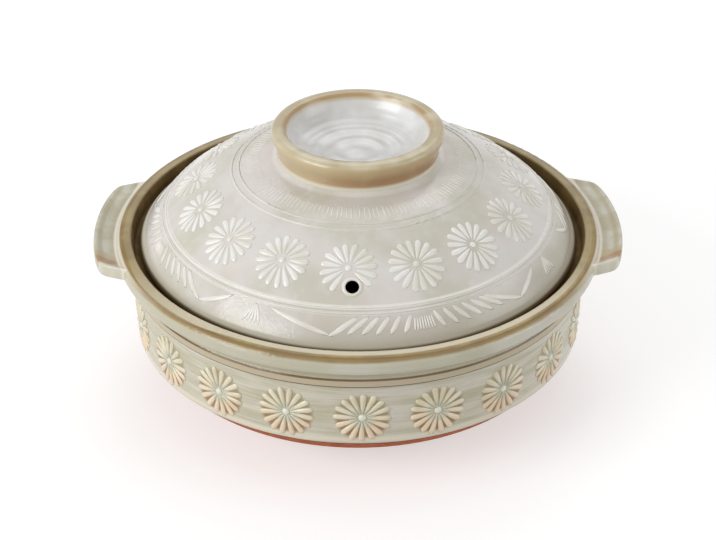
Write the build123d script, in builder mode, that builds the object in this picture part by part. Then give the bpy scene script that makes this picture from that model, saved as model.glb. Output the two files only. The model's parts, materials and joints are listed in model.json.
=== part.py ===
"""Lidded clay cooking pot: a stoneware bowl with two lug handles, and a domed lid
with a ring knob that rests on a ledge inside the rim.

Every piece stands on one vertical axis, Z. The table is at z = 0, the handles point
along X, and the steam hole in the lid faces the front, -Y. Sizes are millimetres.
"""

import os
from math import asin, cos, degrees, radians, sin, sqrt

from build123d import *

# Bowl: mouth, rim and the ledge that carries the lid
pot_height = 95.9          # table to the crest of the rim, before it is rounded
mouth_radius = 124.0       # opening at the crest of the rim
rim_width = 8.2            # crest to the widest line of the lip
rim_slope_drop = 1.4       # the top of the rim falls this much on its way out
lip_height = 9.6           # crest down to the underside of the lip
rim_taper = 1.8            # the rim's inner wall leans in this much down to the ledge
ledge_depth = 9.1          # crest down to the ledge
ledge_width = 9.4
ledge_thickness = 6.5

# Bowl: wall, raised band and bottom
lip_overhang = 8.5         # the flower wall stands back from the lip by this
wall_thickness = 8.0
band_top_drop = 17.7       # crest down to the top of the raised band
band_height = 5.0
band_projection = 1.7
band_groove = 0.8          # depth of the line scored above the band
cove_height = 4.0          # straight stretch between the band and the cove under the lip
flower_wall_foot = 37.5    # table to the lower edge of the flower wall
foot_step = 1.1            # the bare flank stands back from the flower wall by this
flank_shoulder_inset = 10.7    # the flank turns from steep to shallow this far inside the wall
flank_shoulder_height = 27.0
base_radius = 75.0
floor_thickness = 9.0
flank_thickness = 8.6

# Bowl: how round its corners are
heel_round = 6.0
flank_round = 9.0
crisp_round = 0.5
cove_round = 6.0
lip_round = 3.8
crest_round = 1.6
ledge_round = 1.6
bowl_corner_round = 38.0
bowl_floor_round = 70.0

# Lid
lid_clearance = 2.4        # gap between the lid's edge and the rim's inner wall
seat_width = 4.6           # flat ring that rests on the ledge
seat_inset = 1.4           # the seat starts this far inside the widest edge
lid_edge_rise = 3.9        # ledge up to the widest line of the lid
crease_rise = 6.8          # ledge up to the crease where the dome starts
crease_inset = 3.2
shoulder_share = 0.567     # the dome's two arcs meet this far from the knob's foot to the crease
shoulder_rise = 34.4
crown_rise = 52.0          # ledge up to the flat that carries the knob
lid_thickness = 7.2
crown_slope = 11.0         # degrees, the fall of the dome where it leaves the knob
ring_line_offsets = (20.4, 18.2, -18.0, -22.0)  # from the circle where the arcs meet, outward
ring_line_round = 0.55     # half the width of each raised ring line
edge_round = 1.6
crease_round = 0.8
seat_round = 1.0
steam_hole_radius = 3.75
steam_hole_offset = 10.0   # outward from the circle where the arcs meet
steam_hole_turn = -2.7     # degrees from the front

# Knob
knob_foot_radius = 43.3
knob_height = 15.7
knob_waist_inset = 0.8
knob_waist_rise = 2.6
knob_flare = 2.9           # the widest line stands out from the foot by this
knob_flare_drop = 3.8      # top of the knob down to the widest line
knob_rim_width = 7.4
knob_rim_inset = 0.6
recess_foot_radius = 27.0
recess_middle_radius = 34.5
recess_middle_rise = 3.2
recess_round = 9.0
knob_round = 1.4
knob_flare_round = 2.4
knob_waist_round = 5.0
foot_fillet_width = 2.6    # the dome rises to meet the foot of the knob
foot_fillet_drop = 2.1
foot_round = 3.0

# Handles
handle_reach = 12.2        # beyond the widest line of the lip
handle_root_width = 87.0   # along Y, where the lug leaves the lip
handle_tip_width = 78.0
handle_set_back = 1.8      # both lugs sit this far behind the middle of the pot
handle_corner_round = 9.0
handle_top_drop = 1.5      # crest of the rim down to the top edge of the lug
handle_thickness = 7.4
handle_crest_width = 2.6   # level edge round the trough, before it is rounded
handle_root_inset = 2.0    # the root starts this far outside the mouth, inside the rim
trough_depth = 3.0
trough_lean = 4.0          # its sides come in this much from the edge to the bottom
trough_reach_in = 5.0      # the cut for the trough starts this far inside the lip
handle_bottom_round = 3.0

overrun = 40.0             # how far cutting shapes reach past what they cut


def axis_profile(points, radii):
    """Closed outline from the axis, along the points, and back down the axis."""
    path = FilletPolyline(*points, radius=radii)
    Line(path @ 1, path @ 0)


def lug_outline(inset, inner_radius):
    """Plan of a lug, drawn in by an inset, with its root on a circle about the axis."""
    half_root = handle_root_width / 2 - inset
    half_tip = handle_tip_width / 2 - inset
    reach_in = overrun * side_lean
    with BuildSketch(mode=Mode.PRIVATE) as plan:
        Circle(handle_radius - inset)
        Circle(inner_radius, mode=Mode.SUBTRACT)
        with BuildLine():
            Polyline(
                (handle_radius, handle_set_back - half_tip),
                (lip_radius - overrun, handle_set_back - half_root - reach_in),
                (lip_radius - overrun, handle_set_back + half_root + reach_in),
                (handle_radius, handle_set_back + half_tip),
                close=True,
            )
        make_face(mode=Mode.INTERSECT)
        fillet(plan.vertices().sort_by(Axis.X)[-2:], handle_corner_round - inset)
    add(plan.sketch)


def on_arc(arc, radius):
    """Height of a dome's arc, and how far it tips outward in degrees, at a radius."""
    centre = arc.arc_center
    run = radius - centre.X
    side = 1 if (arc @ 0).Y > centre.Y else -1
    rise = side * sqrt(arc.radius**2 - run**2)
    return centre.Y + rise, side * degrees(asin(run / arc.radius))


# Places worked out from the sizes above
lip_radius = mouth_radius + rim_width
wall_radius = lip_radius - lip_overhang
inner_radius = wall_radius - wall_thickness
ledge_height = pot_height - ledge_depth
gallery_radius = mouth_radius - rim_taper
ledge_inner_radius = gallery_radius - ledge_width
band_top = pot_height - band_top_drop
band_bottom = band_top - band_height
band_radius = wall_radius + band_projection
groove_radius = band_radius - band_groove
flank_radius = wall_radius - foot_step
flank_shoulder_radius = wall_radius - flank_shoulder_inset

flank_angle = Vector(1, 0).get_angle(
    Vector(flank_shoulder_radius - base_radius, flank_shoulder_height)
)
flank_in = flank_thickness * sin(radians(flank_angle))
flank_up = flank_thickness * cos(radians(flank_angle))

lid_radius = gallery_radius - lid_clearance
seat_outer_radius = lid_radius - seat_inset
seat_inner_radius = seat_outer_radius - seat_width
crease_radius = lid_radius - crease_inset
crown_height = ledge_height + crown_rise
knob_top = crown_height + knob_height
knob_radius = knob_foot_radius + knob_flare
foot_fillet_radius = knob_foot_radius + foot_fillet_width
shoulder_radius = foot_fillet_radius + shoulder_share * (crease_radius - foot_fillet_radius)

handle_radius = lip_radius + handle_reach
handle_top = pot_height - handle_top_drop
side_lean = (handle_root_width - handle_tip_width) / 2 / handle_reach


# Pot: one turned shape, kept as three pieces on two level cuts: wall, bowl and floor
with BuildPart() as pot_body:
    with BuildSketch(Plane.XZ):
        with BuildLine():
            axis_profile(
                [
                    (0, 0),
                    (base_radius, 0),
                    (flank_shoulder_radius, flank_shoulder_height),
                    (flank_radius, flower_wall_foot),
                    (wall_radius, flower_wall_foot + foot_step),
                    (wall_radius, band_bottom),
                    (band_radius, band_bottom + band_projection / 2),
                    (band_radius, band_top),
                    (groove_radius, band_top + band_groove),
                    (band_radius, band_top + cove_height),
                    (lip_radius, pot_height - lip_height),
                    (lip_radius, pot_height - rim_slope_drop),
                    (mouth_radius, pot_height),
                    (gallery_radius, ledge_height),
                    (ledge_inner_radius, ledge_height),
                    (ledge_inner_radius, ledge_height - ledge_thickness / 2),
                    (inner_radius, ledge_height - ledge_thickness - ledge_round),
                    (inner_radius, flank_shoulder_height + flank_up),
                    (base_radius - flank_in, floor_thickness),
                    (0, floor_thickness),
                ],
                [
                    heel_round,
                    flank_round,
                    crisp_round,
                    crisp_round,
                    crisp_round,
                    crisp_round,
                    crisp_round,
                    crisp_round,
                    cove_round,
                    lip_round,
                    lip_round,
                    crest_round,
                    ledge_round,
                    ledge_round,
                    ledge_round,
                    cove_round,
                    bowl_corner_round,
                    bowl_floor_round,
                ],
            )
        make_face()
    revolve(axis=Axis.Z)

wall_cut = Plane.XY.offset(flower_wall_foot + foot_step + crisp_round * 2)
floor_cut = Plane.XY.offset(floor_thickness + flank_thickness / 3)
with BuildPart() as pot_wall:
    add(pot_body.part)
    split(bisect_by=wall_cut, keep=Keep.TOP)
pot_wall.part.label = "pot_wall"

with BuildPart() as pot_bowl:
    add(pot_body.part)
    split(bisect_by=wall_cut, keep=Keep.BOTTOM)
    split(bisect_by=floor_cut, keep=Keep.TOP)
pot_bowl.part.label = "pot_bowl"

with BuildPart() as pot_floor:
    add(pot_body.part)
    split(bisect_by=floor_cut, keep=Keep.BOTTOM)
pot_floor.part.label = "pot_floor"


# Handles: two lugs luted under the lip, the left one the mirror of the right
with BuildPart() as handle_right:
    with BuildSketch(Plane.XY.offset(handle_top - handle_thickness)):
        lug_outline(0, mouth_radius + handle_root_inset)
    extrude(amount=handle_thickness)
    with BuildSketch(Plane.XY.offset(handle_top)):
        lug_outline(handle_crest_width, lip_radius - trough_reach_in)
    with BuildSketch(Plane.XY.offset(handle_top - trough_depth)):
        lug_outline(handle_crest_width + trough_lean, lip_radius - trough_reach_in)
    loft(ruled=True, mode=Mode.SUBTRACT)
    base = handle_right.faces().sort_by(Axis.Z)[0]
    root = (mouth_radius + handle_root_inset, 0, handle_top - handle_thickness)
    fillet(base.edges().sort_by_distance(root)[1:], handle_bottom_round)
    add(pot_wall.part, mode=Mode.SUBTRACT)
handle_right.part.label = "handle_right"

handle_left = mirror(handle_right.part, about=Plane.YZ, mode=Mode.PRIVATE)
handle_left.label = "handle_left"


# Lid: a domed shell with a flat seat, a flat crown under the knob and a steam hole
crown_fall = Vector(cos(radians(crown_slope)), -sin(radians(crown_slope)))
with BuildPart() as lid_dome:
    with BuildSketch(Plane.XZ) as dome_section:
        with BuildLine():
            crown = Line((0, crown_height), (knob_foot_radius, crown_height))
            foot = Line(crown @ 1, (foot_fillet_radius, crown_height - foot_fillet_drop))
            upper = TangentArc(
                foot @ 1, (shoulder_radius, ledge_height + shoulder_rise), tangent=crown_fall
            )
            lower = TangentArc(
                upper @ 1, (crease_radius, ledge_height + crease_rise), tangent=upper % 1
            )
            edge = Polyline(
                lower @ 1,
                (lid_radius, ledge_height + lid_edge_rise),
                (seat_outer_radius, ledge_height),
                (seat_inner_radius, ledge_height),
            )
            ceiling = Line(
                (0, crown_height - lid_thickness),
                (foot @ 1) + lid_thickness * crown_fall.rotate(Axis.Z, -90),
            )
            under_upper = TangentArc(
                ceiling @ 1,
                (upper @ 1) + lid_thickness * (upper % 1).rotate(Axis.Z, -90),
                tangent=crown_fall,
            )
            TangentArc(under_upper @ 1, edge @ 1, tangent=upper % 1)
            Line(ceiling @ 0, crown @ 0)
        make_face()
        for corner, round_off in (
            (foot @ 1, foot_round),
            (lower @ 1, crease_round),
            ((lid_radius, ledge_height + lid_edge_rise), edge_round),
            ((seat_outer_radius, ledge_height), seat_round),
            ((seat_inner_radius, ledge_height), seat_round),
        ):
            fillet(dome_section.vertices().sort_by_distance(corner)[0], round_off)
    revolve(axis=Axis.Z)
    for offset in ring_line_offsets:
        height, slope = on_arc(upper if offset < 0 else lower, shoulder_radius + offset)
        with BuildSketch(Plane.XZ):
            with Locations((shoulder_radius + offset, height)):
                Circle(ring_line_round)
        revolve(axis=Axis.Z)
    steam_hole_place = shoulder_radius + steam_hole_offset
    height, slope = on_arc(lower, steam_hole_place)
    front = Vector(0, -1).rotate(Axis.Z, steam_hole_turn)
    outward = front * sin(radians(slope)) + Vector(0, 0, 1) * cos(radians(slope))
    with BuildSketch(Plane(front * steam_hole_place + Vector(0, 0, height), z_dir=outward)):
        Circle(steam_hole_radius)
    extrude(amount=lid_thickness * 2, both=True, mode=Mode.SUBTRACT)
lid_dome.part.label = "lid_dome"


# Knob: a ring luted to the crown of the lid, open in the middle like a shallow cup
with BuildPart() as lid_knob:
    with BuildSketch(Plane.XZ):
        with BuildLine():
            FilletPolyline(
                (recess_foot_radius, crown_height),
                (knob_foot_radius, crown_height),
                (knob_foot_radius - knob_waist_inset, crown_height + knob_waist_rise),
                (knob_radius, knob_top - knob_flare_drop),
                (knob_radius - knob_rim_inset, knob_top),
                (knob_radius - knob_rim_width, knob_top),
                (recess_middle_radius, crown_height + recess_middle_rise),
                radius=[
                    0,
                    0,
                    knob_waist_round,
                    knob_flare_round,
                    knob_round,
                    knob_round,
                    recess_round,
                ],
                close=True,
            )
        make_face()
    revolve(axis=Axis.Z)
lid_knob.part.label = "lid_knob"


os.makedirs("parts", exist_ok=True)
export_step(pot_wall.part, "parts/pot_wall.step")
export_step(pot_bowl.part, "parts/pot_bowl.step")
export_step(pot_floor.part, "parts/pot_floor.step")
export_step(handle_left, "parts/handle_left.step")
export_step(handle_right.part, "parts/handle_right.step")
export_step(lid_dome.part, "parts/lid_dome.step")
export_step(lid_knob.part, "parts/lid_knob.step")
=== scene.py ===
# %% [markdown]
# # A lidded clay pot with stamped flowers
#
# This lesson dresses a measured model of a stoneware cooking pot. The pot, its two
# lugs, the lid and the ring knob were drawn to size beforehand. Here they get their
# glazes, and the low relief that a potter stamps and combs into the damp clay.
#
# The measured model is loaded first, so that every later piece can be placed by the
# same numbers. Nothing added may make the pot bigger.

# %% Load the measured model
import json
import math
import random

import bmesh
import bpy
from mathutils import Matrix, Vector

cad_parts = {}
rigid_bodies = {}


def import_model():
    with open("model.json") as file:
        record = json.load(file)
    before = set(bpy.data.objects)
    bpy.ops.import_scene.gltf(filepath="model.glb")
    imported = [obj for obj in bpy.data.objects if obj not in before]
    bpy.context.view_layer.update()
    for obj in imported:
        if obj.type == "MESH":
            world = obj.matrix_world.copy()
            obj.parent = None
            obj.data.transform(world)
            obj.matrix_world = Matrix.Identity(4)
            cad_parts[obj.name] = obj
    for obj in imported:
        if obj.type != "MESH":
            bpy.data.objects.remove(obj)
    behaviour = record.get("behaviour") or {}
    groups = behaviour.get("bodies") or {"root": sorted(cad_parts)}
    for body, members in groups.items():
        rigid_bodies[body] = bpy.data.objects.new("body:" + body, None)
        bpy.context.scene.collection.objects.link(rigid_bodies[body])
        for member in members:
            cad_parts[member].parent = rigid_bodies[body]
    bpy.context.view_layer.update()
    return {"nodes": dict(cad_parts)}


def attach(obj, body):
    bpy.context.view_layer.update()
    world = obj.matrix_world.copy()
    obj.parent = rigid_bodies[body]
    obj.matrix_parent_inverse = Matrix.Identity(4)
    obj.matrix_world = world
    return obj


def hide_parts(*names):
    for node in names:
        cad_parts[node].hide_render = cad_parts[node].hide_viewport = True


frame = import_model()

# %% [markdown]
# ## Camera
#
# The photograph looks down on the pot from the front, from the height of someone
# standing at the table. A long lens keeps the ellipses of rim and lid calm. The camera
# stands one degree off the line square to the handles, as the photograph shows.

# %% Place the camera
eye = bpy.data.cameras.new("table_view")
eye.lens = 85.0
eye.sensor_width = 36.0
camera = bpy.data.objects.new("table_view", eye)
camera.location = (-0.01396, -0.79988, 0.5668)
camera.rotation_euler = (math.radians(57.85), 0.0, math.radians(-1.0))
bpy.context.scene.collection.objects.link(camera)
bpy.context.scene.camera = camera
print("camera is", round(camera.location.length, 3), "m from the pot")

# %% [markdown]
# ## Small tools for colour
#
# A glaze changes colour with its place on the pot: it runs thin and brown over edges
# and pools pale in hollows. So each finish here is a stack of colours, and each layer
# is let through by a mask made from the place on the pot. Colours are written as they
# look on a screen, and turned into the light values that the shader wants.

# %% Colours and sums
def ink(red, green, blue):
    """A colour as it looks on screen, 0 to 255 each, as linear light."""
    parts = [value / 255 for value in (red, green, blue)]
    return [p / 12.92 if p <= 0.04045 else ((p + 0.055) / 1.055) ** 2.4 for p in parts] + [1.0]


def link_node(tree, kind, *values, **settings):
    """Adds one node, feeds its inputs in order and gives back its first output."""
    node = tree.nodes.new(kind)
    for name, value in settings.items():
        setattr(node, name, value)
    for socket, value in zip(node.inputs, values):
        if isinstance(value, bpy.types.NodeSocket):
            tree.links.new(value, socket)
        elif value is not None:
            socket.default_value = value
    return node.outputs[0]


def reckon(tree, operation, first, second=None):
    """One sum of numbers or sockets."""
    return link_node(tree, "ShaderNodeMath", first, second, operation=operation)


def straight_off(tree, first, second):
    """How far away a point is, from its two distances at right angles."""
    first_squared = reckon(tree, "MULTIPLY", first, first)
    second_squared = reckon(tree, "MULTIPLY", second, second)
    return reckon(tree, "SQRT", reckon(tree, "ADD", first_squared, second_squared))


print("a mid grey of 128 is", round(ink(128, 128, 128)[0], 3), "in linear light")

# %% Masks
def rise(tree, value, low, high):
    """Goes smoothly from 0 at low to 1 at high."""
    smooth = {"interpolation_type": "SMOOTHSTEP"}
    return link_node(tree, "ShaderNodeMapRange", value, low, high, 0.0, 1.0, **smooth)


def stripe(tree, value, low, high, soft):
    """1 between low and high, fading out over the soft width at each end."""
    start = rise(tree, value, low - soft, low + soft)
    end = rise(tree, value, high + soft, high - soft)
    return reckon(tree, "MULTIPLY", start, end)


def both(tree, first, second):
    """A mask that lets through only where two masks do."""
    return reckon(tree, "MULTIPLY", first, second)


def between(tree, mask, at_none, at_full):
    """Goes straight from one value where a mask is 0 to another where it is 1."""
    return link_node(tree, "ShaderNodeMapRange", mask, 0.0, 1.0, at_none, at_full)


def cloud(tree, place, size, detail=2.0, stretch=(1.0, 1.0, 1.0)):
    """Soft random patches about this many millimetres wide, from 0 to 1."""
    moved = link_node(tree, "ShaderNodeVectorMath", place["mm"], stretch, operation="MULTIPLY")
    noise = tree.nodes.new("ShaderNodeTexNoise")
    tree.links.new(moved, noise.inputs["Vector"])
    noise.inputs["Scale"].default_value = 1.0 / size
    noise.inputs["Detail"].default_value = detail
    return noise.outputs[0]


def read_place(tree):
    """Where a point is on the pot: millimetres, distance from the axis, and turn in degrees."""
    found = tree.nodes.new("ShaderNodeTexCoord").outputs["Object"]
    mm = link_node(tree, "ShaderNodeVectorMath", found, None, None, 1000.0, operation="SCALE")
    split = tree.nodes.new("ShaderNodeSeparateXYZ")
    tree.links.new(mm, split.inputs[0])
    x, y, z = split.outputs
    angle = reckon(tree, "ARCTAN2", x, reckon(tree, "MULTIPLY", y, -1.0))
    turn = reckon(tree, "DEGREES", angle)
    return {"mm": mm, "x": x, "y": y, "z": z, "reach": straight_off(tree, x, y), "turn": turn}


print("masks read height, distance from the axis and turn")

# %% Layers of glaze
GLOSSY, SHARP_GLINT, DULL_GLINT = 0.2, 0.5, 0.15


def lay_over(tree, amount, under, over, share=None):
    """Lays one colour over another, let through by a mask, or by a share of it."""
    if share is not None:
        amount = reckon(tree, "MULTIPLY", amount, share)
    mix = tree.nodes.new("ShaderNodeMix")
    mix.data_type = "RGBA"
    for socket, value in ((mix.inputs[0], amount), (mix.inputs[6], under), (mix.inputs[7], over)):
        if isinstance(value, bpy.types.NodeSocket):
            tree.links.new(value, socket)
        else:
            socket.default_value = value
    return mix.outputs[2]


def mottle(tree, pattern, first, second, low=0.35, high=0.65):
    """Two colours that run into one another along a random pattern."""
    return lay_over(tree, rise(tree, pattern, low, high), ink(*first), ink(*second))


def start_finish(name, roughness):
    """A new material with its shader and a reader of places."""
    finish = bpy.data.materials.new(name)
    finish.use_nodes = True
    tree = finish.node_tree
    shader = tree.nodes["Principled BSDF"]
    shader.inputs["Roughness"].default_value = roughness
    return finish, tree, shader, read_place(tree)


def dull_where(tree, shader, mask, roughness):
    """Takes the gloss of the glaze away where a mask is 1."""
    tree.links.new(between(tree, mask, GLOSSY, roughness), shader.inputs["Roughness"])
    glint = between(tree, mask, SHARP_GLINT, DULL_GLINT)
    tree.links.new(glint, shader.inputs["Specular IOR Level"])


def press_in(tree, shader, height, depth):
    """Lets a height map tip the surface by this many metres."""
    bump = tree.nodes.new("ShaderNodeBump")
    bump.inputs["Strength"].default_value = 1.0
    bump.inputs["Distance"].default_value = depth
    tree.links.new(height, bump.inputs["Height"])
    tree.links.new(bump.outputs[0], shader.inputs["Normal"])


print("a glossy glaze has a roughness of", GLOSSY)

# %% [markdown]
# ## Glaze on the pot's body
#
# The body was dipped in a grey-green glaze over a red clay. On the wall it lies in
# level streaks, as it was brushed while the pot turned. It broke to tan and brown on
# the rim, on the raised band and round the stamped flowers, and painted shade darkens
# the scored lines and the gaps between the petals as well. It stops short of the
# bottom, where the bare clay shows, with a painted shadow just under its edge.
#
# The body is a turned shape, so height and distance from the axis tell most zones
# apart. The masks read little else: the turn places the flowers, and the rim, whose
# painted highlights differ in front and at the back, also reads how far forward a point is.
#
# Each zone is written as the two heights, or the two distances from the axis, between
# which it lies or its mask rises, in millimetres.

# %% Body glaze: streaks on the wall
pot_glaze, tree, shader, place = start_finish("pot_glaze", 0.22)
fine_streaks = cloud(tree, place, 1.0, 3.0, (0.05, 0.05, 1.1))
broad_streaks = cloud(tree, place, 14.0, 2.0, (0.35, 0.35, 2.4))
patches = cloud(tree, place, 38.0, 2.0)
wall = mottle(tree, broad_streaks, (184, 178, 152), (203, 198, 180))
wall = lay_over(tree, rise(tree, fine_streaks, 0.5, 0.72), wall, ink(222, 218, 204), 0.35)
wall = lay_over(tree, rise(tree, fine_streaks, 0.46, 0.3), wall, ink(158, 148, 118), 0.3)
wall = lay_over(tree, rise(tree, patches, 0.5, 0.75), wall, ink(206, 200, 198), 0.4)
print("wall streaks use", len(tree.nodes), "nodes")

# %% Body glaze: brown stain and painted shade in the stamped flowers
# One flower stands in every 18 degrees, with its middle at this height on the wall.
FLOWER_STEP = 18.0
FLOWER_HEIGHT = 54.3
WALL_REACH = 123.7
STAIN_RING = (6.5, 13.6)
OUTER_WALL = (116.0, 118.0)


def flower_spread(tree, place):
    """How far a point is from the middle of its flower, and how far above it."""
    half = FLOWER_STEP / 2
    turn = link_node(tree, "ShaderNodeMath", place["turn"], half, -half, operation="WRAP")
    across = reckon(tree, "MULTIPLY", turn, math.radians(WALL_REACH))
    above = reckon(tree, "SUBTRACT", place["z"], FLOWER_HEIGHT)
    return straight_off(tree, across, above), above


spread, above = flower_spread(tree, place)
outside = rise(tree, place["reach"], *OUTER_WALL)
in_flower = both(tree, stripe(tree, spread, *STAIN_RING, 1.4), outside)
uneven_above = reckon(tree, "ADD", above, reckon(tree, "MULTIPLY", patches, 10.0))
low_half = rise(tree, uneven_above, 14.0, 0.0)
# Round the petals the wall is painted brown: glaze run thin, and painted shade in the gaps between
# the raised petals. The lower half is browner.
stain_and_shade = lay_over(tree, low_half, ink(152, 142, 108), ink(134, 96, 60))
wall = lay_over(tree, in_flower, wall, stain_and_shade, 0.8)
print(int(360 / FLOWER_STEP), "flowers are stained")

# %% Body glaze: hem, cove and scored band
HEM = (39.0, 42.0)
COVE = (78.6, 84.0)
RAISED_BAND = (74.8, 77.8)
SCORED_LINES = ((72.9, 74.6, 1.0), (77.8, 78.8, 0.9))
z, reach = place["z"], place["reach"]
wobble = reckon(tree, "MULTIPLY", reckon(tree, "SUBTRACT", cloud(tree, place, 22.0), 0.5), 1.6)
height = reckon(tree, "ADD", z, reckon(tree, "MULTIPLY", wobble, 0.35))
body = lay_over(tree, stripe(tree, height, *HEM, 1.2), wall, ink(218, 210, 190))
body = lay_over(tree, stripe(tree, height, *COVE, 0.8), body, ink(190, 184, 156))
body = lay_over(tree, stripe(tree, z, *RAISED_BAND, 0.4), body, ink(186, 172, 142))
# The scored lines are dark brown: glaze broken at the steps, and painted shade in the grooves.
for low_edge, high_edge, strength in SCORED_LINES:
    line = stripe(tree, z, low_edge, high_edge, 0.35)
    body = lay_over(tree, line, body, ink(92, 62, 34), strength)
print("hem, cove and band use", len(tree.nodes), "nodes")

# %% Body glaze: lip
LIP_SHADE = (84.6, 85.6)
LIP_FOOT = (84.4, 85.4)
LIP_ROOT = (125.5, 127.0)
lip = mottle(tree, patches, (186, 181, 158), (200, 196, 182), 0.4, 0.7)
lip = lay_over(tree, stripe(tree, z, *LIP_SHADE, 0.5), lip, ink(120, 122, 112), 0.6)
on_lip = both(tree, rise(tree, z, *LIP_FOOT), rise(tree, reach, *LIP_ROOT))
body = lay_over(tree, on_lip, body, lip)
print("the lip starts", LIP_ROOT[0], "mm from the axis")

# %% Body glaze: rim
# In front the crest of the rim carries a painted highlight, widest at the left front.
# At the back it is the outer shoulder of the rim that is painted pale, as light falling on it.
RIM_FOOT = (92.4, 93.8)
RIM_ROOT = (123.0, 124.0)
RIM_CREST = (122.4, 127.8)
RIM_LINE = (129.4, 131.2)
RIM_SHOULDER = (129.6, 130.8)
MIDDLE_TO_FRONT = (-30.0, -95.0)
LEFT_FRONT = (-66.0, -36.0)
in_front = rise(tree, place["y"], *MIDDLE_TO_FRONT)
rim = mottle(tree, cloud(tree, place, 16.0), (125, 100, 34), (148, 125, 60))
widening = reckon(tree, "MULTIPLY", stripe(tree, place["turn"], *LEFT_FRONT, 9.0), 2.3)
# Painted highlight along the crest, strongest in front.
crest = stripe(tree, reckon(tree, "SUBTRACT", reach, widening), *RIM_CREST, 0.5)
rim = lay_over(tree, crest, rim, ink(206, 197, 172), between(tree, in_front, 0.15, 0.8))
rim = lay_over(tree, stripe(tree, reach, *RIM_LINE, 0.6), rim, ink(124, 94, 46), 0.7)
# Painted light on the rim's outer shoulder, strongest at the back.
shoulder = rise(tree, reach, *RIM_SHOULDER)
rim = lay_over(tree, shoulder, rim, ink(222, 215, 196), between(tree, in_front, 0.85, 0.1))
above_foot = rise(tree, reckon(tree, "ADD", z, wobble), *RIM_FOOT)
on_rim = both(tree, above_foot, rise(tree, reach, *RIM_ROOT))
body = lay_over(tree, on_rim, body, rim)
print("rim, lip and band use", len(tree.nodes), "nodes")

# %% Body glaze: gallery and inside
# The inside is told from the outside by a line drawn up the middle of the clay, given
# as three heights with their distances from the axis.
GALLERY_FLOOR = (84.0, 85.5)
GALLERY_WALL = (124.3, 123.6)
CLAY_MIDDLE = ((8.0, 72.0), (27.0, 105.6), (42.0, 118.6))
SOFT_EDGE = 0.4
# The gallery is dark brown glaze, painted darker still as shade in the gap under the lid.
gallery = mottle(tree, cloud(tree, place, 14.0), (98, 78, 46), (128, 104, 62), 0.3, 0.75)
in_gallery = both(tree, rise(tree, z, *GALLERY_FLOOR), rise(tree, reach, *GALLERY_WALL))
inside = mottle(tree, cloud(tree, place, 30.0, 3.0), (178, 172, 154), (206, 202, 190), 0.35, 0.7)
(floor_z, floor_reach), (bend_z, bend_reach), (wall_z, wall_reach) = CLAY_MIDDLE
flank = link_node(tree, "ShaderNodeMapRange", z, floor_z, bend_z, floor_reach, bend_reach)
steep = link_node(tree, "ShaderNodeMapRange", z, bend_z, wall_z, 0.0, wall_reach - bend_reach)
inward = reckon(tree, "SUBTRACT", reckon(tree, "ADD", flank, steep), reach)
above_floor = rise(tree, z, floor_z, floor_z + 2 * SOFT_EDGE)
is_inside = both(tree, rise(tree, inward, -SOFT_EDGE, SOFT_EDGE), above_floor)
body = lay_over(tree, is_inside, body, inside)
body = lay_over(tree, in_gallery, body, gallery)
print("the inside is glazed down to", floor_z, "mm")

# %% Body glaze: bare clay of the foot
GLAZE_END = (37.6, 37.0)
SHADOW_UNDER_GLAZE = (35.6, 37.4)
BARE_ROUGHNESS = 0.72
clay = mottle(tree, cloud(tree, place, 5.0, 6.0), (174, 86, 50), (198, 110, 68))
# A painted shadow lies on the bare clay just under the edge of the glaze.
clay = lay_over(tree, stripe(tree, z, *SHADOW_UNDER_GLAZE, 0.5), clay, ink(98, 54, 30), 0.8)
outside_low = both(tree, rise(tree, height, *GLAZE_END), rise(tree, inward, SOFT_EDGE, -SOFT_EDGE))
underneath = rise(tree, z, floor_z + SOFT_EDGE, floor_z - SOFT_EDGE)
bare = reckon(tree, "MAXIMUM", outside_low, underneath)
body = lay_over(tree, bare, body, clay)
tree.links.new(body, shader.inputs["Base Color"])
dull_where(tree, shader, reckon(tree, "MAXIMUM", bare, in_gallery), BARE_ROUGHNESS)
grain = reckon(tree, "ADD", fine_streaks, cloud(tree, place, 3.0, 4.0))
press_in(tree, shader, grain, 0.00022)
print("the whole body glaze uses", len(tree.nodes), "nodes")

# %% [markdown]
# ## Glaze on the lid
#
# The lid has the same glaze, thicker and whiter, with faint lilac and straw patches.
# The raised ring lines are painted whiter than the ground, as a highlight along them,
# with painted shade in the groove between the outer two. Outside them the glaze is
# greyer, and painted shade darkens it most on the right. The lowest part of the edge is
# dark brown glaze with painted shade of the gap, the seat under it is bare clay, and the
# wall of the steam hole is painted dark as shade.

# %% Lid glaze: ground and ring lines
RING_LINES = ((104.2, 0.9, 0.7), (106.4, 0.7, 0.5), (68.0, 0.9, 0.25), (64.0, 0.9, 0.25))
GROOVE_SHADE = (105.0, 105.6)
lid_glaze, tree, shader, place = start_finish("lid_glaze", 0.2)
z, reach = place["z"], place["reach"]
broad = cloud(tree, place, 34.0, 2.0)
small = cloud(tree, place, 7.0, 4.0)
blush = cloud(tree, place, 26.0, 2.0, (1.0, 1.0, 1.6))
ground = mottle(tree, broad, (197, 193, 179), (213, 208, 203), 0.36, 0.62)
ground = lay_over(tree, rise(tree, blush, 0.52, 0.7), ground, ink(214, 204, 196), 0.35)
ground = lay_over(tree, rise(tree, small, 0.5, 0.75), ground, ink(222, 222, 220), 0.3)
# Each raised ring line is painted whiter, as a highlight along it.
for middle, half, strength in RING_LINES:
    line = stripe(tree, reach, middle - half, middle + half, 0.4)
    ground = lay_over(tree, line, ground, ink(236, 233, 226), strength)
# Painted shade in the groove between the two outer ring lines.
ground = lay_over(tree, stripe(tree, reach, *GROOVE_SHADE, 0.3), ground, ink(164, 156, 140), 0.35)
print(len(RING_LINES), "ring lines are lit")

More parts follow.
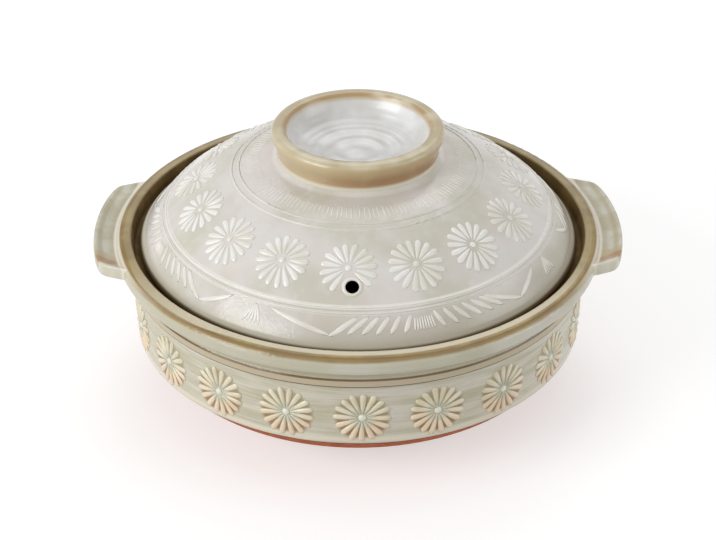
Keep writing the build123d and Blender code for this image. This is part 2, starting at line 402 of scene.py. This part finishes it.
# %% Lid glaze: edge and seat
SHADE_REACH = (104.0, 113.0)
SHADE_SIDE = (-75.0, 10.0)
LID_EDGE = (113.5, 117.2)
EDGE_FOOT = (92.7, 91.5)
DULL_BELOW = (94.4, 93.2)
SEAT = (87.6, 87.1)
SEAT_ROUGHNESS = 0.7
ground = lay_over(tree, rise(tree, reach, *LID_EDGE), ground, ink(186, 180, 156), 0.6)
# Painted shade on the lid's outer band, strongest on the right, away from the key light.
right_side_shade = both(tree, rise(tree, reach, *SHADE_REACH), rise(tree, place["x"], *SHADE_SIDE))
ground = lay_over(tree, right_side_shade, ground, ink(172, 164, 145), 0.6)
dull_edge = rise(tree, z, *DULL_BELOW)
# Dark brown at the foot of the edge: brown glaze, darkened as painted shade of the gap under the
# lid.
ground = lay_over(tree, rise(tree, z, *EDGE_FOOT), ground, ink(92, 72, 44))
ground = lay_over(tree, rise(tree, z, *SEAT), ground, ink(176, 96, 62))
print("the lid's edge dulls below", DULL_BELOW[0], "mm")

# %% Lid glaze: steam hole, gloss and grain
# The dome of the lid is two arcs, the crown's and the shoulder's, each given by its
# centre (out from the axis, and up) and its radius. The wall of the hole is told from
# the skin of the shoulder by lying a little nearer to that arc's centre.
DOME_ARCS = ((22.608, 16.874, 122.069), (28.662, 26.84, 110.408))
HOLE_SIDES = (-9.0, 0.0)
HOLE_BACK = (-82.0, -87.0)
UNDER_SKIN = (110.0, 109.2)
centre_out, centre_up = DOME_ARCS[1][:2]
in_line = stripe(tree, place["x"], *HOLE_SIDES, 0.3)
near_hole = both(tree, in_line, rise(tree, place["y"], *HOLE_BACK))
run, climb = reckon(tree, "SUBTRACT", reach, centre_out), reckon(tree, "SUBTRACT", z, centre_up)
hole_wall_shade = both(tree, near_hole, rise(tree, straight_off(tree, run, climb), *UNDER_SKIN))
# The wall of the hole is painted near-black as shade.
ground = lay_over(tree, hole_wall_shade, ground, ink(38, 32, 24))
tree.links.new(ground, shader.inputs["Base Color"])
dull_where(tree, shader, dull_edge, SEAT_ROUGHNESS)
press_in(tree, shader, reckon(tree, "ADD", small, cloud(tree, place, 2.2, 3.0)), 0.00014)
print("lid glaze uses", len(tree.nodes), "nodes")

# %% [markdown]
# ## Glaze on the knob
#
# The glaze ran off the ring knob and left it thin: its level top is straw with a brown
# inner edge, its outer wall is a light brown, painted paler on the left where the light
# falls and with a painted highlight at the foot, and the cup inside holds a pale pool.

# %% Knob glaze: top and wall
INNER_EDGE = (37.0, 40.2)
KNOB_WALL = (143.0, 150.5)
RIGHT_TO_LEFT = (10.0, -40.0)
KNOB_FOOT = (141.4, 139.4)
knob_glaze, tree, shader, place = start_finish("knob_glaze", 0.2)
z, reach = place["z"], place["reach"]
broad = cloud(tree, place, 20.0, 2.0)
small = cloud(tree, place, 4.0, 4.0)
top = mottle(tree, broad, (180, 165, 130), (203, 193, 165))
inner_edge = both(tree, stripe(tree, reach, *INNER_EDGE, 1.0), rise(tree, broad, 0.62, 0.4))
top = lay_over(tree, inner_edge, top, ink(168, 134, 90), 0.75)
side = lay_over(tree, rise(tree, z, *KNOB_WALL), ink(160, 126, 88), ink(184, 160, 120))
# Painted light: the wall is paler on the left, where the key light falls.
lit_left_side = rise(tree, place["x"], *RIGHT_TO_LEFT)
side = lay_over(tree, lit_left_side, side, ink(200, 186, 152), 0.6)
side = lay_over(tree, rise(tree, broad, 0.45, 0.7), side, ink(196, 178, 140), 0.35)
# Painted highlight along the foot, where the wall curves into the lid.
side = lay_over(tree, rise(tree, z, *KNOB_FOOT), side, ink(208, 202, 184))
print("the knob's wall is shaded from", KNOB_WALL[0], "to", KNOB_WALL[1], "mm")

# %% Knob glaze: pool in the cup
TOP_FROM = (151.8, 153.4)
CUP_WALL = (38.6, 37.2)
CUP_BRIM = (154.3, 152.8)
pool = mottle(tree, broad, (208, 207, 203), (226, 226, 226))
in_cup = both(tree, rise(tree, reach, *CUP_WALL), rise(tree, z, *CUP_BRIM))
knob = lay_over(tree, rise(tree, z, *TOP_FROM), side, top)
knob = lay_over(tree, in_cup, knob, pool)
tree.links.new(knob, shader.inputs["Base Color"])
press_in(tree, shader, small, 0.00012)
print("knob glaze uses", len(tree.nodes), "nodes")

# %% [markdown]
# ## Glaze on the relief
#
# Stamped petals, dots and combed strokes catch more slip, so they read paler than
# their ground. On the body the lower petals are warmer, the heart of each flower is
# greener, and its button is pale again, so that glaze reads how far a point is from
# the middle of its flower.

# %% Relief glazes on the lid
def slip_finish(name, dark, pale):
    """Pale slip on the lid's relief, of two colours that run into one another."""
    finish, tree, shader, place = start_finish(name, 0.2)
    slip = mottle(tree, cloud(tree, place, 18.0, 2.0), dark, pale)
    tree.links.new(slip, shader.inputs["Base Color"])
    press_in(tree, shader, cloud(tree, place, 1.6, 3.0), 0.0001)
    return finish


white_relief = slip_finish("white_relief", (218, 214, 203), (231, 229, 225))
comb_relief = slip_finish("comb_relief", (216, 211, 199), (230, 227, 221))
print("relief glazes on the lid:", white_relief.name, comb_relief.name)

# %% Relief glaze on the body
HEART_RING = (2.4, 6.0)
BUTTON_EDGE = (2.6, 2.0)
cream_relief, tree, shader, place = start_finish("cream_relief", 0.22)
spread, above = flower_spread(tree, place)
cream = mottle(tree, cloud(tree, place, 12.0, 3.0), (211, 199, 170), (224, 216, 193))
uneven_above = reckon(tree, "ADD", above, reckon(tree, "MULTIPLY", cloud(tree, place, 16.0), 14.0))
cream = lay_over(tree, rise(tree, uneven_above, 10.0, -2.0), cream, ink(234, 206, 172), 0.6)
cream = lay_over(tree, stripe(tree, spread, *HEART_RING, 1.6), cream, ink(194, 194, 172), 0.8)
cream = lay_over(tree, rise(tree, spread, *BUTTON_EDGE), cream, ink(220, 222, 206))
tree.links.new(cream, shader.inputs["Base Color"])
press_in(tree, shader, cloud(tree, place, 1.6, 3.0), 0.00012)
print("relief glaze on the body:", cream_relief.name)

# %% [markdown]
# ## Glaze on the handles
#
# The lugs were dipped with the body. The glaze pooled grey-green in their hollow, broke
# tan along the crest, and ran off the front crest, which left a rust-brown streak. The
# place of that streak is counted from the front end of the lug, which leans outward.

# %% Lug glaze: hollow and crest
LUG_FRONT = -42.4
LEAN_FROM, LEAN = 132.2, 0.37
CREST_LINE = (139.5, 142.0)
HOLLOW_SHADE = (138.0, 134.5)
TAN_STREAK = (6.4, 13.0)
lug_glaze, tree, shader, place = start_finish("lug_glaze", 0.22)
z, reach = place["z"], place["reach"]
pooled = mottle(tree, cloud(tree, place, 14.0, 3.0), (178, 172, 146), (198, 196, 180))
crest_line = stripe(tree, reach, *CREST_LINE, 0.8)
pooled = lay_over(tree, crest_line, pooled, ink(162, 146, 108), 0.55)
lean = reckon(tree, "MULTIPLY", reckon(tree, "SUBTRACT", reach, LEAN_FROM), LEAN)
from_front = reckon(tree, "SUBTRACT", reckon(tree, "SUBTRACT", place["y"], LUG_FRONT), lean)
pooled = lay_over(tree, rise(tree, reach, *HOLLOW_SHADE), pooled, ink(146, 132, 90), 0.45)
tan_streak = stripe(tree, from_front, *TAN_STREAK, 2.2)
pooled = lay_over(tree, tan_streak, pooled, ink(176, 154, 112), 0.6)
print("the lug's front end is at", LUG_FRONT, "mm")

# %% Lug glaze: rust streak, front end and root
RUST_STREAK = (1.2, 7.6)
CREST_HEIGHT = (89.5, 91.5)
FRONT_END = (0.8, -0.4)
LUG_AT_LIP = (134.0, 132.8)
rust = both(tree, stripe(tree, from_front, *RUST_STREAK, 1.7), rise(tree, z, *CREST_HEIGHT))
rust = both(tree, rust, rise(tree, cloud(tree, place, 9.0), 0.2, 0.6))
pooled = lay_over(tree, rust, pooled, ink(158, 116, 66), 0.9)
pooled = lay_over(tree, rise(tree, from_front, *FRONT_END), pooled, ink(214, 210, 192), 0.7)
# Painted highlight on the fillet where the lug meets the lip.
pooled = lay_over(tree, rise(tree, reach, *LUG_AT_LIP), pooled, ink(222, 216, 200))
tree.links.new(pooled, shader.inputs["Base Color"])
press_in(tree, shader, cloud(tree, place, 3.0, 4.0), 0.00015)
print("lug glaze uses", len(tree.nodes), "nodes")

# %% [markdown]
# ## The measured pieces that stay
#
# The pot's body and the dome of the lid are plain turned shapes, and the measured ones
# are as smooth as the real ones. They stay as they are and only take their glazes. The
# body was drawn as three turned pieces, so all three take the same glaze.

# %% Give the turned pieces their glazes
TURNED = {
    "pot_wall": pot_glaze,
    "pot_bowl": pot_glaze,
    "pot_floor": pot_glaze,
    "lid_dome": lid_glaze,
}
for node_name, glaze in TURNED.items():
    turned = frame["nodes"][node_name]
    turned.data.materials.clear()
    turned.data.materials.append(glaze)
    print(node_name, "has", len(turned.data.polygons), "faces and", glaze.name)

# %% [markdown]
# ## Small tools for shapes
#
# Every new piece is shaped in a bmesh, and then becomes an object that rides on the
# pot or on the lid. All the sizes below are in millimetres.

# %% Shape helpers
MM = 0.001


def finish_piece(shape, name, glaze, body):
    """Turns a finished bmesh into a smooth piece that moves with the pot or the lid."""
    mesh = bpy.data.meshes.new(name)
    shape.to_mesh(mesh)
    shape.free()
    for face in mesh.polygons:
        face.use_smooth = True
    mesh.materials.append(glaze)
    piece = bpy.data.objects.new(name, mesh)
    bpy.context.scene.collection.objects.link(piece)
    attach(piece, body)
    print(name, "has", len(mesh.polygons), "faces")
    return piece


def turn_full(shape, section, centre, axis, steps):
    """Spins a section all the way round, closes the seam and turns the faces outwards."""
    full = 2 * math.pi
    bmesh.ops.spin(
        shape, geom=section, cent=centre, axis=axis, angle=full, steps=steps, use_merge=True
    )
    bmesh.ops.remove_doubles(shape, verts=shape.verts, dist=1e-6)
    bmesh.ops.recalc_face_normals(shape, faces=shape.faces)


print("one millimetre is", MM, "m")

# %% [markdown]
# ## The ring knob
#
# The knob is thrown on the lid as a ring, and the finger that opened it left round
# ridges in the cup and a small button in the middle. Its section is drawn as a row
# of points and spun round the axis, which is just how a potter's rib would cut it.
# The section runs from the middle of the cup, up and over the rim, and down the
# outside into the crown of the lid.

# %% Spin the knob
CROWN = 138.8
KNOB_TOP = 154.5
section = [
    (0.0, CROWN + 1.5),
    (2.4, CROWN + 1.35),
    (4.6, CROWN + 0.7),
    (7.4, CROWN + 0.3),
    (10.4, CROWN + 0.45),
    (12.6, CROWN + 1.35),
    (14.6, CROWN + 1.2),
    (17.2, CROWN + 0.55),
    (19.8, CROWN + 0.9),
    (21.6, CROWN + 1.9),
    (23.6, CROWN + 1.9),
    (26.0, CROWN + 1.5),
    (28.0, CROWN + 2.3),
    (29.4, CROWN + 3.4),
    (31.0, CROWN + 3.5),
    (32.6, CROWN + 4.2),
    (33.8, CROWN + 6.2),
    (34.6, CROWN + 7.2),
    (35.6, CROWN + 7.9),
    (36.6, CROWN + 10.2),
    (37.1, CROWN + 11.2),
    (37.9, CROWN + 12.6),
    (38.6, CROWN + 14.6),
    (39.6, KNOB_TOP - 0.15),
    (41.2, KNOB_TOP),
    (43.4, KNOB_TOP - 0.1),
    (45.0, KNOB_TOP - 0.5),
    (45.9, KNOB_TOP - 1.6),
    (46.1, KNOB_TOP - 3.0),
    (45.8, KNOB_TOP - 4.6),
    (44.6, KNOB_TOP - 7.4),
    (43.5, KNOB_TOP - 10.2),
    (42.9, KNOB_TOP - 12.6),
    (43.1, KNOB_TOP - 14.4),
    (43.6, CROWN + 0.1),
    (43.6, CROWN - 0.4),
    (0.0, CROWN - 0.4),
]
ring = bmesh.new()
points = [ring.verts.new((distance * MM, 0.0, level * MM)) for distance, level in section]
edges = [ring.edges.new(pair) for pair in zip(points, points[1:])]
turn_full(ring, points + edges, (0, 0, 0), (0, 0, 1), 96)
knob_ring = finish_piece(ring, "knob_ring", knob_glaze, "lid")
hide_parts("lid_knob")

# %% [markdown]
# ## The handles
#
# Each lug is a thick slab of clay luted under the lip and pressed hollow with the
# thumb, so a soft crest runs round its outer edge and over both ends. It is made as
# the potter makes it: a flat sheet bent to the lip, given its thickness, its edges
# softened, and its top pressed in. A subdivision surface then rounds everything.

# %% Model a lug and its mirror
LUG_ROOT, LUG_TIP = 125.6, 144.35
LUG_ROOT_HALF, LUG_TIP_HALF = 50.6, 42.6
LUG_TOP, LUG_THICK = 95.0, 8.0
LUG_HOLLOW, HOLLOW_FROM, HOLLOW_SLOPE = 2.6, 1.5, 5.0
LUG_SET_BACK = 1.8
CORNER_ROUND, END_TAPER = 0.07, 0.01
SHARP_ANGLE, EDGE_BEVEL = 0.9, 1.4


def model_lug(side):
    """A closed slab hugging the lip, with a thumbed hollow; side is 1 right or -1 left."""
    lug = bmesh.new()
    bmesh.ops.create_grid(lug, x_segments=5, y_segments=16, size=1.0)
    sunk = {}
    for vertex in lug.verts:
        out, along = (vertex.co.x + 1) / 2, vertex.co.y
        rounded = out - CORNER_ROUND * out**3 * abs(along) ** 9
        along *= 1 - END_TAPER * out**6
        distance = LUG_ROOT + (LUG_TIP - LUG_ROOT) * rounded
        half_width = LUG_ROOT_HALF + (LUG_TIP_HALF - LUG_ROOT_HALF) * out
        y = along * half_width + LUG_SET_BACK
        vertex.co = Vector((side * math.sqrt(distance**2 - y**2), y, LUG_TOP)) * MM
        inward = min((1 - out) * (LUG_TIP - LUG_ROOT), (1 - abs(along)) * LUG_ROOT_HALF)
        sunk[vertex] = LUG_HOLLOW * min(1.0, max(0.0, (inward - HOLLOW_FROM) / HOLLOW_SLOPE))
    made = bmesh.ops.extrude_face_region(lug, geom=lug.faces[:])["geom"]
    copied = [part for part in made if isinstance(part, bmesh.types.BMVert)]
    bmesh.ops.translate(lug, verts=copied, vec=(0, 0, -LUG_THICK * MM))
    for vertex, depth in sunk.items():
        vertex.co.z -= depth * MM
    bmesh.ops.recalc_face_normals(lug, faces=lug.faces)
    sharp = [edge for edge in lug.edges if edge.calc_face_angle(0) > SHARP_ANGLE]
    rounding = {"affect": "EDGES", "segments": 2, "profile": 0.5, "material": -1}
    bmesh.ops.bevel(lug, geom=sharp, offset=EDGE_BEVEL * MM, **rounding)
    return lug


LUGS = ((1, "handle_right", "lug_right"), (-1, "handle_left", "lug_left"))
for side, node_name, piece_name in LUGS:
    lug = finish_piece(model_lug(side), piece_name, lug_glaze, "pot")
    soften = lug.modifiers.new("soften", "SUBSURF")
    soften.levels = 2
    soften.render_levels = 2
    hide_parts(node_name)

# %% [markdown]
# ## Laying relief on the clay
#
# A stamped petal is a low pad with soft sides. It starts here as a ball, pressed flat
# so that its sides leave the clay at a gentle angle, and drawn out to a petal. The
# pads then have to follow the clay, so each point is laid on the surface by its place
# across and along it. The lid is a dome of two arcs, and the wall is nearly a drum.

# %% Surface helpers
SHOULDER = 85.99
PETALS = 16
random.seed(16)


def on_lid(plan, height):
    """A point above the lid's glaze, in metres, from its place in plan and its height."""
    distance = plan.length
    centre_out, centre_up, radius = DOME_ARCS[0] if distance < SHOULDER else DOME_ARCS[1]
    run = distance - centre_out
    lift = math.sqrt(radius**2 - run**2)
    out = plan.normalized() * (distance + height * run / radius)
    return Vector((out.x, out.y, centre_up + lift + height * lift / radius)) * MM


def lid_slope(distance):
    """How much the plan shortens a length laid down the lid's slope."""
    centre_out, centre_up, radius = DOME_ARCS[0] if distance < SHOULDER else DOME_ARCS[1]
    return math.sqrt(1 - ((distance - centre_out) / radius) ** 2)


def plan_point(distance, turn):
    """A place in plan: distance from the axis, and degrees from the front to the right."""
    angle = math.radians(turn)
    return Vector((math.sin(angle), -math.cos(angle))) * distance


def pad(shape, around, lay):
    """Presses one ball to a soft pad of unit size and lays every point of it."""
    ball = bmesh.ops.create_uvsphere(shape, u_segments=around, v_segments=6, radius=1.0)["verts"]
    for vertex in ball:
        x, y, z = vertex.co
        vertex.co = lay(x, y, z * abs(z) ** 0.5)


def gather(parts, whole):
    """Adds a small finished shape to a large one, which is quicker than growing the large one."""
    held = bpy.data.meshes.new("held")
    parts.to_mesh(held)
    parts.free()
    whole.from_mesh(held)
    bpy.data.meshes.remove(held)


def stamp_flower(whole, lay, size, height, plump, heart, button, hole=None):
    """Sixteen petals and a button; lay puts a place (across, up, height) on the clay.

    Heart is the share of the size at which petals start, and plump widens them. Petals
    stop short of a hole, given as its place and radius within the flower.
    """
    spin = random.uniform(0, 22)
    shape = bmesh.new()
    for petal in range(PETALS):
        angle = math.radians(spin + petal * 360 / PETALS + random.uniform(-1.2, 1.2))
        start = size * random.uniform(heart, heart + 0.07)
        end = size * random.uniform(0.97, 1.01)
        ridge = height * random.uniform(0.85, 1.1)
        if hole:
            place, radius = hole
            ahead = Vector((math.cos(angle), math.sin(angle)))
            aside, along = abs(ahead.cross(place)), ahead.dot(place)
            if along > 0 and aside < radius:
                end = min(end, along - math.sqrt(radius**2 - aside**2))
            if end < start + 2:
                continue

        def lay_petal(x, y, z):
            along = (math.sin(x * math.pi / 2) + 1) / 2
            reach = start + (end - start) * along
            side = y * plump * (0.3 + 0.9 * along)
            across = reach * math.cos(angle) - side * math.sin(angle)
            up = reach * math.sin(angle) + side * math.cos(angle)
            return lay(across, up, z * ridge * (0.55 + 0.45 * along))

        pad(shape, 10, lay_petal)
    pad(shape, 10, lambda x, y, z: lay(x * button, y * button, z * height))
    gather(shape, whole)


print("the lid falls to", round(lid_slope(SHOULDER), 3), "of its length at the shoulder")

# %% [markdown]
# ## Flowers on the lid
#
# Sixteen chrysanthemum stamps go round the shoulder of the lid. One stamp makes them
# all, so they are alike, but each is set by hand: a little turned, some pressed more.

# %% Stamp the lid
LID_FLOWERS = 16
LID_FLOWER_REACH = 87.8
LID_FLOWER_SIZE = 14.7
LID_FLOWER_START = -4.1
PETAL_PLUMP = 1.85
STEAM_REACH, STEAM_TURN, STEAM_RADIUS = 95.99, -2.7, 3.75
STEAM_MARGIN = 1.9
hole = plan_point(STEAM_REACH, STEAM_TURN)
garland = bmesh.new()
for number in range(LID_FLOWERS):
    turn = LID_FLOWER_START + number * 360 / LID_FLOWERS
    middle = plan_point(LID_FLOWER_REACH + random.uniform(-0.5, 0.5), turn)
    outward = middle.normalized()
    sideways = Vector((-outward.y, outward.x))
    lean = lid_slope(LID_FLOWER_REACH)
    gap = Vector(((hole - middle).dot(sideways), -(hole - middle).dot(outward) / lean))
    stamp_flower(
        garland,
        lambda across, up, height: on_lid(
            middle + sideways * across - outward * up * lean, height
        ),
        size=LID_FLOWER_SIZE,
        height=random.uniform(0.7, 0.85),
        plump=PETAL_PLUMP,
        heart=0.2,
        button=1.8,
        hole=(gap, STEAM_RADIUS + STEAM_MARGIN) if number == 0 else None,
    )
finish_piece(garland, "lid_flowers", white_relief, "lid")

# %% [markdown]
# ## Flowers on the body
#
# A larger ring of the same stamp goes round the wall, which is a plain upright drum
# below the band. These were pressed deeper, so their petals stand higher and start
# nearer to the middle.

# %% Stamp the body
BODY_FLOWER_SIZE = 14.8


def on_wall(turn, across, up, height):
    """A point above the wall's glaze, in metres, from its place round and up the wall."""
    place = plan_point(WALL_REACH + height, turn + math.degrees(across / WALL_REACH))
    return Vector((place.x, place.y, FLOWER_HEIGHT + up)) * MM


wreath = bmesh.new()
for number in range(int(360 / FLOWER_STEP)):
    turn = number * FLOWER_STEP
    stamp_flower(
        wreath,
        lambda across, up, height: on_wall(turn, across, up, height),
        size=BODY_FLOWER_SIZE,
        height=random.uniform(0.95, 1.15),
        plump=PETAL_PLUMP,
        heart=0.13,
        button=2.1,
    )
finish_piece(wreath, "body_flowers", cream_relief, "pot")

# %% [markdown]
# ## Combed strokes on the lid
#
# Between the ring line and the edge, leaf sprays and small fans were drawn with a
# comb, joined by bent branch lines. Near the knob runs a band of fine radial strokes.
# Each stroke is the same pressed ball, drawn out thin along a bent line.

# %% A stroke of the comb
# Each kind of stroke: its distances from the axis at start, bend and end, then its
# width and its height.
LEAF = ((107.4, 110.6, 114.0), 2.3, 0.45)
STALK = ((108.6, 111.2, 113.6), 1.1, 0.4)
FAN = ((107.4, 110.8, 114.2), 1.5, 0.4)
BRANCH = ((114.2, 112.4, 107.2), 2.0, 0.4)
HATCH = ((51.5, 57.0, 62.2), 0.8, 0.16)


def stroke(shape, kind, turns, shifts=(0, 0, 0)):
    """A tapered ridge through three turns; shifts lengthen or shorten its distances."""
    reaches, width, height = kind
    spots = zip(reaches, shifts, turns)
    first, bend, last = (plan_point(reach + shift, turn) for reach, shift, turn in spots)

    def lay_stroke(x, y, z):
        along = (x + 1) / 2
        spot = first * (1 - along) ** 2 + bend * 2 * along * (1 - along) + last * along**2
        ahead = ((bend - first) * (1 - along) + (last - bend) * along).normalized()
        return on_lid(spot + Vector((-ahead.y, ahead.x)) * y * width / 2, z * height)

    pad(shape, 8, lay_stroke)


print("a leaf stroke is", LEAF[1], "mm wide, a hatch", HATCH[1], "mm")

# %% Comb leaf sprays, fans and branch lines
# Sprays and fans are given by their turn in degrees. A branch line is given by the turn
# of its corner and how far its two arms swing from there.
SPRAYS = (16.2, 106.0, 195.0, 288.0)
FANS = (61.0, 152.0, 241.0, 331.0)
CORNERS = (
    (-8.2, 7.0, -17.5),
    (45.8, 10.0, -11.5),
    (-46.4, 10.0, -9.0),
    (84.0, 10.0, -8.0),
    (130.0, 8.0, -11.0),
    (173.0, 9.0, -9.0),
    (218.0, 11.0, -8.0),
    (262.0, 8.0, -10.0),
)
combed = bmesh.new()
for spray in SPRAYS:
    leaf = bmesh.new()
    for hand in (-1, 1):
        for number in range(6):
            inner = spray + hand * (3.0 + 2.8 * number)
            outer = inner + hand * (2.6 + 0.8 * number)
            bow = (inner + outer) / 2 - hand * 0.3
            stroke(leaf, LEAF, (inner, bow, outer), (0, 0, -0.15 * number))
    for number in range(8):
        turn = spray - 2.3 + number * 0.65
        stroke(leaf, STALK, (turn, turn, turn + 0.15 * (number - 3.5)))
    gather(leaf, combed)
for fan in FANS:
    for number in range(5):
        swing = (number - 2) * 1.2
        stroke(combed, FAN, (fan, fan + swing * 0.6, fan + swing))
for corner, *arms in CORNERS:
    for swing in arms:
        turns = (corner - swing * 0.06, corner + swing * 0.5, corner + swing)
        stroke(combed, BRANCH, turns)
finish_piece(combed, "combed_leaves", comb_relief, "lid")

# %% Draw the fine band near the knob
HATCHES, SECTORS = 150, 10
fine = bmesh.new()
for sector in range(SECTORS):
    comb = bmesh.new()
    for number in range(sector * HATCHES // SECTORS, (sector + 1) * HATCHES // SECTORS):
        turn = number * 360 / HATCHES + random.uniform(-0.4, 0.4)
        uneven = (random.uniform(0, 1.5), 0, random.uniform(-1.5, 0))
        stroke(comb, HATCH, (turn, turn + 0.2, turn + 0.5), uneven)
    gather(comb, fine)
finish_piece(fine, "combed_band", comb_relief, "lid")

# %% [markdown]
# ## The steam hole's lip
#
# A hole was pushed through the dome in front, and the stick raised a soft burr of
# clay round it. A small circle spun round the hole's own axis makes that burr.

# %% Raise the burr round the steam hole
BURR_RADIUS, BURR_OUT = 0.75, 0.55
hole_middle = on_lid(hole, 0.0)
hole_axis = (on_lid(hole, 1.0) - hole_middle).normalized()
edge_way = hole_axis.orthogonal().normalized()
burr = bmesh.new()
round_section = bmesh.ops.create_circle(burr, segments=10, radius=BURR_RADIUS * MM)["verts"]
for vertex in round_section:
    x, y = vertex.co.x, vertex.co.y
    out, up = STEAM_RADIUS * MM + BURR_OUT * MM + x * 1.2, y * 0.9 - 0.1 * MM
    vertex.co = hole_middle + edge_way * out + hole_axis * up
turn_full(burr, round_section + burr.edges[:], hole_middle, hole_axis, 32)
finish_piece(burr, "steam_burr", comb_relief, "lid")

# %% [markdown]
# ## Table and light
#
# The pot stands on a plain pale table before a white ground. The table takes the
# pot's shadow, and for the camera it is lifted to white, so no extra light has to
# fall on the pot to whiten it.

# %% Lay the table
TABLE_HALF = 6.0
TABLE_GREY, TABLE_GLOW = 0.62, 0.5
floor_shape = bmesh.new()
bmesh.ops.create_grid(floor_shape, x_segments=1, y_segments=1, size=TABLE_HALF)
floor_mesh = bpy.data.meshes.new("table_top")
floor_shape.to_mesh(floor_mesh)
floor_shape.free()
table_top = bpy.data.objects.new("table_top", floor_mesh)
bpy.context.scene.collection.objects.link(table_top)


def seen_directly(tree):
    """1 for what the camera, a reflection or a clear piece sees, 0 for plain light."""
    path = tree.nodes.new("ShaderNodeLightPath")
    seen = reckon(tree, "MAXIMUM", path.outputs["Is Camera Ray"], path.outputs["Is Glossy Ray"])
    return reckon(tree, "MAXIMUM", seen, path.outputs["Is Transmission Ray"])


pale_table = bpy.data.materials.new("pale_table")
pale_table.use_nodes = True
tree = pale_table.node_tree
shader = tree.nodes["Principled BSDF"]
shader.inputs["Base Color"].default_value = (TABLE_GREY, TABLE_GREY, TABLE_GREY, 1.0)
shader.inputs["Roughness"].default_value = 0.9
shader.inputs["Specular IOR Level"].default_value = 0.0
shader.inputs["Emission Color"].default_value = (1.0, 1.0, 1.0, 1.0)
glow = reckon(tree, "MULTIPLY", seen_directly(tree), TABLE_GLOW)
tree.links.new(glow, shader.inputs["Emission Strength"])
table_top.data.materials.append(pale_table)
print("table top is", round(table_top.dimensions.x, 1), "m wide")

# %% Light the pot
POT_MIDDLE = Vector((0, 0, 0.07))
PLAIN_LIGHT, SEEN_WHITE = 0.5, 1.0


def soft_lamp(name, place, size, watts):
    """A square lamp that looks at the middle of the pot."""
    light = bpy.data.lights.new(name, "AREA")
    light.size = size
    light.energy = watts
    lamp = bpy.data.objects.new(name, light)
    lamp.location = place
    lamp.rotation_euler = (POT_MIDDLE - Vector(place)).to_track_quat("-Z", "Y").to_euler()
    bpy.context.scene.collection.objects.link(lamp)
    print(name, "gives", watts, "W from", place)


soft_lamp("window_left", (-1.3, -0.85, 0.74), 1.0, 17.5)
soft_lamp("card_right", (1.25, -0.35, 0.45), 0.9, 5.0)
soft_lamp("top_back", (0.1, 0.9, 1.3), 1.0, 5.0)

world = bpy.data.worlds.new("white_room")
bpy.context.scene.world = world
world.use_nodes = True
tree = world.node_tree
sky = tree.nodes["Background"]
sky.inputs["Color"].default_value = (1.0, 1.0, 1.0, 1.0)
strength = between(tree, seen_directly(tree), PLAIN_LIGHT, SEEN_WHITE)
tree.links.new(strength, sky.inputs["Strength"])
bpy.context.scene.view_settings.view_transform = "Standard"
print("view transform:", bpy.context.scene.view_settings.view_transform)
